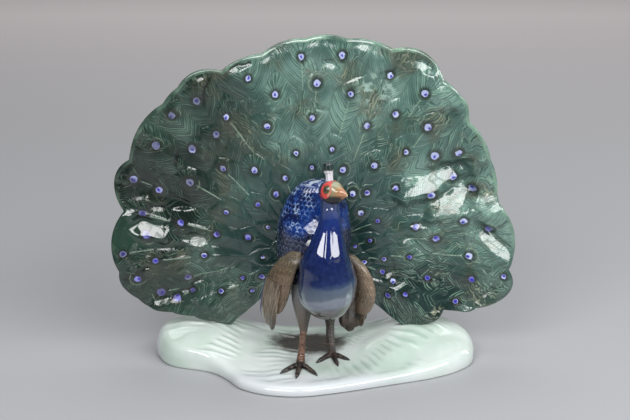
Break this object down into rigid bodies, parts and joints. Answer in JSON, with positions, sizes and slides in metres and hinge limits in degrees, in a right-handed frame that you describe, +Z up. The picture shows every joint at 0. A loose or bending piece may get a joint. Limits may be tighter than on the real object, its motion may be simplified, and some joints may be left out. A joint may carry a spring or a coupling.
{
  "type": "peacock figurine",
  "caption": "Glazed porcelain peacock standing on a low modelled ground with its train raised in a wide feathered fan behind it.",
  "frame": {"origin": "on the surface the figurine stands on, under the middle of the ground", "axes": "+Z up, the bird faces -Y, and +X is to the right of someone who faces it"},
  "size_m": [0.3517, 0.1407, 0.2862],
  "materials": {
    "painted_porcelain": "clear gloss glaze over hand painting: grey-green train with violet-blue eyes, cobalt neck and cape, brown wings and legs, white ground washed with mint"
  },
  "bodies": {
    "root": {"peacock_figurine": "painted_porcelain"}
  },
  "joints": []
}
